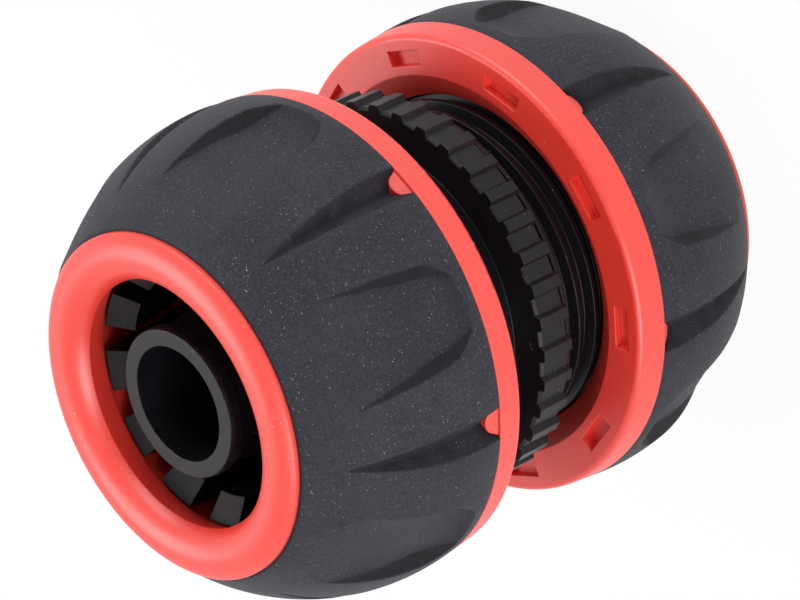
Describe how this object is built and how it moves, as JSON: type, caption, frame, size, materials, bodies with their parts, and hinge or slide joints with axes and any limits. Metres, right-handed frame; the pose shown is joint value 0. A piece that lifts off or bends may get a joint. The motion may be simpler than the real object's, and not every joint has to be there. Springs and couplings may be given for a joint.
{
  "type": "hose mender",
  "caption": "Garden hose mender: black barbed body with a toothed middle ring and springy clamping fingers, and a red nut with a soft black scalloped grip at each end.",
  "frame": {"origin": "centre of the lower nut's mouth, on the surface that the mender stands on", "axes": "+Z along the mender's axis and up towards the upper nut's mouth; a groove of each grip faces +X and a finger scoop faces -Y"},
  "size_m": [0.0452, 0.0452, 0.0588],
  "materials": {
    "body_plastic": "moulded black plastic, satin",
    "shell_plastic": "moulded coral red plastic, soft sheen",
    "grip_rubber": "soft charcoal overmoulding, matt with fine dust"
  },
  "bodies": {
    "centre": {"centre_body": "body_plastic"},
    "upper_nut": {"upper_nut_shell": "shell_plastic", "upper_nut_grip": "grip_rubber"},
    "lower_nut": {"lower_nut_shell": "shell_plastic", "lower_nut_grip": "grip_rubber"}
  },
  "joints": [
    {"name": "upper_nut_turn", "type": "hinge", "parent": "centre", "child": "upper_nut", "pos_m": [0, 0, 0.0286], "axis": [0, 0, 1], "range_deg": [-1170, 520]},
    {"name": "lower_nut_turn", "type": "hinge", "parent": "centre", "child": "lower_nut", "pos_m": [0, 0, 0.0286], "axis": [0, 0, -1], "range_deg": [-805, 810]}
  ]
}
